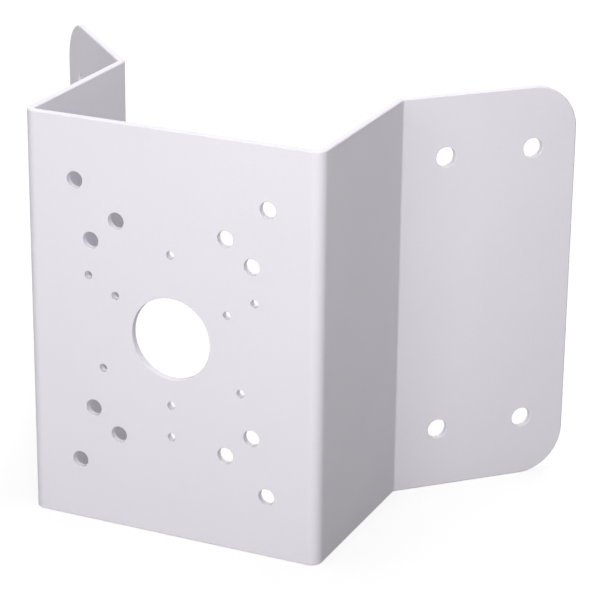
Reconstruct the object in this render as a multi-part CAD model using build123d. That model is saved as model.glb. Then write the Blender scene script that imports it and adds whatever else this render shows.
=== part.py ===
from build123d import *
from build123d.topology import topo_explore_connected_faces
import os
from math import cos, radians, sin

# Corner mount adapter: one steel sheet, cut flat, folded four times and powder coated.
# It carries a camera, or a camera's arm, on the outside corner of a building.
# The front plate takes the camera. A web runs back from each side of the plate, and the
# flange turned out from each web lies flat on one of the corner's two walls.
#
# Millimetres. The origin is on the front plate's outer face, at the centre of the cable hole.
# +X is to the right as seen from in front, +Y runs back to the wall and +Z is up.

# Sheet
sheet_thickness = 3.5
inside_bend_radius = 2.0
outline_chamfer = 0.5
hole_chamfer = 0.2

# Folded form, measured on the faces seen from in front, where they would meet with no bend radius
adapter_height = 200.0
plate_width = 150.0
web_depth = 91.0
flange_length = 90.0
flange_corner_radius = 22.5
wall_corner_angle = 90.0
# A corner's radius takes at most this share of the edge it is cut from
largest_corner_share = 0.9

# Front plate: cable hole
cable_hole_diameter = 40.0

# Front plate: three rectangles of bolt holes, for three sizes of arm or housing
plate_bolt_diameter = 8.0
tall_pattern_width = 97.5
tall_pattern_height = 139.5
narrow_pattern_width = 55.5
narrow_pattern_height = 106.0
square_pattern_width = 82.0
square_pattern_height = 83.5

# Front plate: three circles of three screw holes each, for round camera bases
base_screw_diameter = 4.0
large_circle_diameter = 98.0
middle_circle_diameter = 82.0
small_circle_diameter = 66.0
screws_per_circle = 3
# One screw of each circle lies straight below the cable hole or straight above it
screw_below = -90.0
screw_above = 90.0

# Flanges: two columns of two wall bolts on each
wall_bolt_diameter = 10.0
wall_bolt_end_distance = 22.5
wall_bolt_column_spacing = 45.0
wall_bolt_row_spacing = 139.5

# The flanges leave the webs at half the angle between the walls
flange_turn = wall_corner_angle / 2
flange_direction = Vector(cos(radians(flange_turn)), sin(radians(flange_turn)), 0)
fold_line = Vector(plate_width / 2, web_depth, 0)

# A cutter passes this far out of the sheet on each side
cutter_overrun = 1.0

# Edges whose lengths differ by less than this are as long as each other
same_length = 0.01

# Two faces that turn by more than this meet at a corner
sharp_turn = 45.0


def folded_sheet():
    """The sheet with its four folds: a band of even thickness, drawn in plan and raised."""
    right_side = [Vector(plate_width / 2, 0, 0), fold_line, fold_line + flange_direction * flange_length]
    left_side = [Vector(-point.X, point.Y, 0) for point in reversed(right_side)]
    # Seen from in front the plate's folds bend round the sheet's outside, the flanges' folds round its inside
    plate_fold = inside_bend_radius + sheet_thickness
    flange_fold = inside_bend_radius
    front_line = FilletPolyline(
        left_side + right_side,
        radius=[flange_fold, plate_fold, plate_fold, flange_fold],
    )
    band = make_face(offset(front_line, amount=sheet_thickness, side=Side.LEFT, closed=True))
    return extrude(band, amount=adapter_height / 2, both=True)


def round_flange_corners(sheet):
    """Large radii on the two free corners of each flange."""
    free_end = sheet.edges().filter_by(lambda edge: abs(edge.length - sheet_thickness) < same_length)
    corners = free_end.group_by(Axis.X)[0] + free_end.group_by(Axis.X)[-1]
    largest = largest_corner_share * min(flange_length, adapter_height / 2)
    return fillet(corners, min(flange_corner_radius, largest))


def hole(diameter):
    """A cutter for one round hole, centred in the sheet."""
    return Cylinder(diameter / 2, sheet_thickness + 2 * cutter_overrun)


def plate_holes():
    """Every hole of the front plate, all laid out about the cable hole."""
    middle_of_plate = Plane(origin=(0, sheet_thickness / 2, 0), x_dir=(1, 0, 0), z_dir=(0, -1, 0))
    holes = [hole(cable_hole_diameter)]
    for width, height in (
        (tall_pattern_width, tall_pattern_height),
        (narrow_pattern_width, narrow_pattern_height),
        (square_pattern_width, square_pattern_height),
    ):
        holes += [place * hole(plate_bolt_diameter) for place in GridLocations(width, height, 2, 2)]
    for diameter, first_screw in (
        (large_circle_diameter, screw_below),
        (middle_circle_diameter, screw_above),
        (small_circle_diameter, screw_below),
    ):
        circle = PolarLocations(diameter / 2, screws_per_circle, start_angle=first_screw)
        holes += [place * hole(base_screw_diameter) for place in circle]
    return [middle_of_plate * cutter for cutter in holes]


def flange_holes():
    """The wall bolts' holes in both flanges."""
    out_of_flange = flange_direction.cross(Vector(0, 0, 1))
    from_fold = flange_length - wall_bolt_end_distance - wall_bolt_column_spacing / 2
    centre = fold_line + flange_direction * from_fold - out_of_flange * sheet_thickness / 2
    middle_of_bolts = Plane(origin=centre, x_dir=flange_direction, z_dir=out_of_flange)
    pattern = GridLocations(wall_bolt_column_spacing, wall_bolt_row_spacing, 2, 2)
    right = [middle_of_bolts * place * hole(wall_bolt_diameter) for place in pattern]
    return right + [mirror(cutter, about=Plane.YZ) for cutter in right]


def is_sharp(edge, sheet):
    """True where two faces meet at a corner, false along a bend's tangent lines."""
    normals = [Face(face).normal_at(edge @ 0.5) for face in topo_explore_connected_faces(edge, sheet)]
    return normals[0].get_angle(normals[-1]) > sharp_turn


def break_outline(sheet):
    """The sheet's whole outline, broken on both sides as grinding and the coating leave it."""
    outline = sheet.edges().filter_by(lambda edge: is_sharp(edge, sheet))
    return chamfer(outline, outline_chamfer)


def deburr_bolt_holes(sheet):
    """A fine chamfer round the cable hole and each bolt hole, on both sides of the sheet."""
    rims = sheet.edges().filter_by(lambda edge: edge.is_closed and edge.radius > base_screw_diameter / 2)
    return chamfer(rims, hole_chamfer)


adapter = break_outline(round_flange_corners(folded_sheet()))
adapter -= plate_holes() + flange_holes()
adapter = deburr_bolt_holes(adapter)

os.makedirs("parts", exist_ok=True)
export_step(adapter, "parts/corner_adapter.step")
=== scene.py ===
from math import radians

import bpy
from mathutils import Matrix, Vector


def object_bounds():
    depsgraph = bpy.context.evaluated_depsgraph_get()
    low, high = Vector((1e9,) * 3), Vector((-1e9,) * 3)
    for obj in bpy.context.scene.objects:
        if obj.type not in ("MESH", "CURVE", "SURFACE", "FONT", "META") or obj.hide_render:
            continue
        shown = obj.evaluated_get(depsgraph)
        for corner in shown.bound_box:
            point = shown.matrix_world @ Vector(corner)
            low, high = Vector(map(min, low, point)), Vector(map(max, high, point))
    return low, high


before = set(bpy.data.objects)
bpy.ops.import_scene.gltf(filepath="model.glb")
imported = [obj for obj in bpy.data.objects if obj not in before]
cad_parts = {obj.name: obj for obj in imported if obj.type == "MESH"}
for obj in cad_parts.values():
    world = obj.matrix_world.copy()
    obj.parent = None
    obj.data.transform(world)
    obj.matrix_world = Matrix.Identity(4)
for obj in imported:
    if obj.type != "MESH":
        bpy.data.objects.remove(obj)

# A corner mount adapter: one folded steel sheet with a white powder coat, on a white studio floor.
# Lengths are in metres, angles in degrees and powers in watts, unless a comment says otherwise.
cad_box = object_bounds()
lowest, highest = cad_box
middle = (lowest + highest) / 2

# Camera: it stands to the right of the object and looks a little down on the front plate.
# The lens is in millimetres, on a sensor 36 mm wide.
CAMERA_AIM = Vector((0.0648, 0.0, 0.0303))
CAMERA_DISTANCE = 1.128
CAMERA_AZIMUTH = 24.42
CAMERA_PITCH = 20.95
CAMERA_ROLL = 0.62
CAMERA_LENS = 152.5

# Powder coat: a matt white with a trace of lilac. Each noise has the size of its waves and its
# detail, which is how many times finer waves are added. A height spans the noise from 0 to 1.
COAT_LIGHT = (0.838, 0.808, 0.872, 1.0)
COAT_SHADED = (0.826, 0.797, 0.860, 1.0)
COAT_ROUGHNESS = (0.54, 0.62)
COAT_SPECULAR = 0.3
COAT_IOR = 1.5
TONE_PATCH = 0.035
TONE_DETAIL = 3.0
ROUGHNESS_PATCH = TONE_PATCH / 3
ROUGHNESS_DETAIL = 4.0
PEEL_WAVE = 0.0009
PEEL_DETAIL = 1.0
PEEL_HEIGHT = 0.00008
GRAIN_SIZE = 0.00035
GRAIN_DETAIL = 2.0
GRAIN_HEIGHT = 0.00003
EDGE_ROUNDING = 0.00035
# Most of a noise's values lie in this range
NOISE_RANGE = (0.3, 0.7)

# Floor. It bounces light as a grey floor and looks white. Its glow grows over these distances
# from the object, and makes up for the lamps' light, which fades with the distance.
FLOOR_SIDE = 12.0
FLOOR_COLOR = (0.30, 0.30, 0.30, 1.0)
GLOW_DISTANCES = (0.5, 2.5)
GLOW_STRENGTHS = (0.76, 1.0)

# Room: its light is dimmer than it looks
WHITE = (1.0, 1.0, 1.0, 1.0)
ROOM_LIGHT = 0.20
ROOM_LOOK = 1.0

# Lamps. The side light is a spot that aims above the object's middle by its lift. The edge of
# its cone is soft all the way in, so that its light fades towards the floor.
SOFTBOXES = {
    "front_light": {"place": (0.1, -1.6, 0.3), "side": 0.8, "power": 12.7},
    "top_light": {"place": (0.0, 0.08, 1.4), "side": 0.8, "power": 9.2},
    "back_light": {"place": (0.0, 1.3, 1.3), "side": 1.0, "power": 9.5},
    "left_light": {"place": (-1.1, 0.95, 0.6), "side": 0.8, "power": 2.3},
}
SIDE_LIGHT = {
    "place": (0.9, -1.3, 0.7),
    "radius": 0.2,
    "power": 48.5,
    "cone": 32,
    "softness": 1.0,
    "lift": 0.2,
}


def node(tree, kind, **sockets):
    """A new node of a tree, with some of its inputs set by name."""
    made = tree.nodes.new(kind)
    for name, value in sockets.items():
        made.inputs[name.replace("_", " ")].default_value = value
    return made


def new_material(name):
    """An empty material, its tree and its output node."""
    material = bpy.data.materials.new(name)
    material.use_nodes = True
    tree = material.node_tree
    tree.nodes.clear()
    return material, tree, tree.nodes.new("ShaderNodeOutputMaterial")


def noise(tree, size, detail):
    """Noise in the object's own coordinates, with waves of the given size."""
    coordinates = tree.nodes.new("ShaderNodeTexCoord")
    made = node(tree, "ShaderNodeTexNoise", Scale=1 / size, Detail=detail)
    tree.links.new(coordinates.outputs["Object"], made.inputs["Vector"])
    return made.outputs["Fac"]


def stretched(tree, value, old, new):
    """A value's old range, stretched over a new one."""
    made = node(tree, "ShaderNodeMapRange", From_Min=old[0], From_Max=old[1], To_Min=new[0], To_Max=new[1])
    tree.links.new(value, made.inputs["Value"])
    return made.outputs["Result"]


def color_between(tree, share, first, second):
    """The first color where the share is 0, the second where it is 1."""
    made = tree.nodes.new("ShaderNodeMix")
    made.data_type = "RGBA"
    made.inputs["A"].default_value = first
    made.inputs["B"].default_value = second
    tree.links.new(share, made.inputs["Factor"])
    return made.outputs["Result"]


def bump(tree, relief, height, normal):
    """A relief of the given height, laid over an earlier normal."""
    made = node(tree, "ShaderNodeBump", Strength=1.0, Distance=height)
    tree.links.new(relief, made.inputs["Height"])
    tree.links.new(normal, made.inputs["Normal"])
    return made.outputs["Normal"]


def powder_coat():
    """Powder coat: even, with slow changes of tone and roughness, orange peel and a fine grain."""
    material, tree, output = new_material("white_powder_coat")
    coat = node(tree, "ShaderNodeBsdfPrincipled", IOR=COAT_IOR, Specular_IOR_Level=COAT_SPECULAR)
    tone = stretched(tree, noise(tree, TONE_PATCH, TONE_DETAIL), NOISE_RANGE, (0.0, 1.0))
    roughness = stretched(tree, noise(tree, ROUGHNESS_PATCH, ROUGHNESS_DETAIL), NOISE_RANGE, COAT_ROUGHNESS)
    edges = node(tree, "ShaderNodeBevel", Radius=EDGE_ROUNDING).outputs["Normal"]
    peel = bump(tree, noise(tree, PEEL_WAVE, PEEL_DETAIL), PEEL_HEIGHT, edges)
    grain = bump(tree, noise(tree, GRAIN_SIZE, GRAIN_DETAIL), GRAIN_HEIGHT, peel)
    tree.links.new(color_between(tree, tone, COAT_SHADED, COAT_LIGHT), coat.inputs["Base Color"])
    tree.links.new(roughness, coat.inputs["Roughness"])
    tree.links.new(grain, coat.inputs["Normal"])
    tree.links.new(coat.outputs["BSDF"], output.inputs["Surface"])
    return material


def seen(tree):
    """1 where the camera, a reflection or clear glass looks, 0 for light that bounces."""
    rays = tree.nodes.new("ShaderNodeLightPath").outputs
    either = rays["Is Camera Ray"]
    for name in ("Is Glossy Ray", "Is Transmission Ray"):
        greater = tree.nodes.new("ShaderNodeMath")
        greater.operation = "MAXIMUM"
        tree.links.new(either, greater.inputs[0])
        tree.links.new(rays[name], greater.inputs[1])
        either = greater.outputs["Value"]
    return either


def finish_with(tree, output, bounced, looked_at):
    """Ends a tree in one shader for light that bounces and another for what is looked at."""
    mixed = tree.nodes.new("ShaderNodeMixShader")
    tree.links.new(seen(tree), mixed.inputs["Fac"])
    tree.links.new(bounced, mixed.inputs[1])
    tree.links.new(looked_at, mixed.inputs[2])
    tree.links.new(mixed.outputs["Shader"], output.inputs["Surface"])


def floor_glow(tree):
    """A glow that grows with the distance from the middle of the floor."""
    coordinates = tree.nodes.new("ShaderNodeTexCoord")
    distance = tree.nodes.new("ShaderNodeVectorMath")
    distance.operation = "LENGTH"
    glow = tree.nodes.new("ShaderNodeEmission")
    tree.links.new(coordinates.outputs["Object"], distance.inputs["Vector"])
    strength = stretched(tree, distance.outputs["Value"], GLOW_DISTANCES, GLOW_STRENGTHS)
    tree.links.new(strength, glow.inputs["Strength"])
    return glow.outputs["Emission"]


def floor_material():
    """A pale floor that looks white and keeps the object's shadow."""
    material, tree, output = new_material("pale_floor")
    surface = node(tree, "ShaderNodeBsdfDiffuse", Color=FLOOR_COLOR).outputs["BSDF"]
    glowing = tree.nodes.new("ShaderNodeAddShader")
    tree.links.new(surface, glowing.inputs[0])
    tree.links.new(floor_glow(tree), glowing.inputs[1])
    finish_with(tree, output, surface, glowing.outputs["Shader"])
    return material


def add_floor():
    """The floor that the object stands on."""
    bpy.ops.mesh.primitive_plane_add(size=FLOOR_SIDE, location=(middle.x, middle.y, lowest.z))
    floor = bpy.context.object
    floor.name = "floor"
    floor.data.materials.append(floor_material())


def set_room():
    """Even light from all round, in a room that looks white."""
    room = bpy.data.worlds.new("studio")
    room.use_nodes = True
    bpy.context.scene.world = room
    tree = room.node_tree
    tree.nodes.clear()
    output = tree.nodes.new("ShaderNodeOutputWorld")
    light = node(tree, "ShaderNodeBackground", Color=WHITE, Strength=ROOM_LIGHT)
    look = node(tree, "ShaderNodeBackground", Color=WHITE, Strength=ROOM_LOOK)
    finish_with(tree, output, light.outputs["Background"], look.outputs["Background"])


def add_lamp(name, lamp, place, aim):
    """Hangs a lamp at a place, facing a point."""
    holder = bpy.data.objects.new(name, lamp)
    bpy.context.scene.collection.objects.link(holder)
    holder.location = place
    facing = aim - holder.location
    holder.rotation_euler = facing.to_track_quat("-Z", "Y").to_euler()


def softbox(name, place, side, power):
    """A square lamp that faces the object's middle."""
    lamp = bpy.data.lights.new(name, "AREA")
    lamp.shape = "SQUARE"
    lamp.size = side
    lamp.energy = power
    add_lamp(name, lamp, place, middle)


def spotlight(name, place, radius, power, cone, softness, lift):
    """A round lamp with a soft-edged cone, which faces a point above the object's middle."""
    lamp = bpy.data.lights.new(name, "SPOT")
    lamp.shadow_soft_size = radius
    lamp.energy = power
    lamp.spot_size = radians(cone)
    lamp.spot_blend = softness
    add_lamp(name, lamp, place, middle + Vector((0, 0, lift)))


def add_camera():
    """The camera, at the photograph's viewing angle."""
    lens = bpy.data.cameras.new("camera")
    lens.lens = CAMERA_LENS
    camera = bpy.data.objects.new("camera", lens)
    bpy.context.scene.collection.objects.link(camera)
    turn = (
        Matrix.Rotation(radians(CAMERA_AZIMUTH), 4, "Z")
        @ Matrix.Rotation(radians(90 - CAMERA_PITCH), 4, "X")
        @ Matrix.Rotation(radians(CAMERA_ROLL), 4, "Z")
    )
    camera.matrix_world = Matrix.Translation(CAMERA_AIM) @ turn @ Matrix.Translation((0, 0, CAMERA_DISTANCE))
    bpy.context.scene.camera = camera


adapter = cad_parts["corner_adapter"]
adapter.data.materials.clear()
adapter.data.materials.append(powder_coat())
add_floor()
set_room()
for name, box in SOFTBOXES.items():
    softbox(name, **box)
spotlight("side_light", **SIDE_LIGHT)
add_camera()
bpy.context.scene.view_settings.view_transform = "Standard"
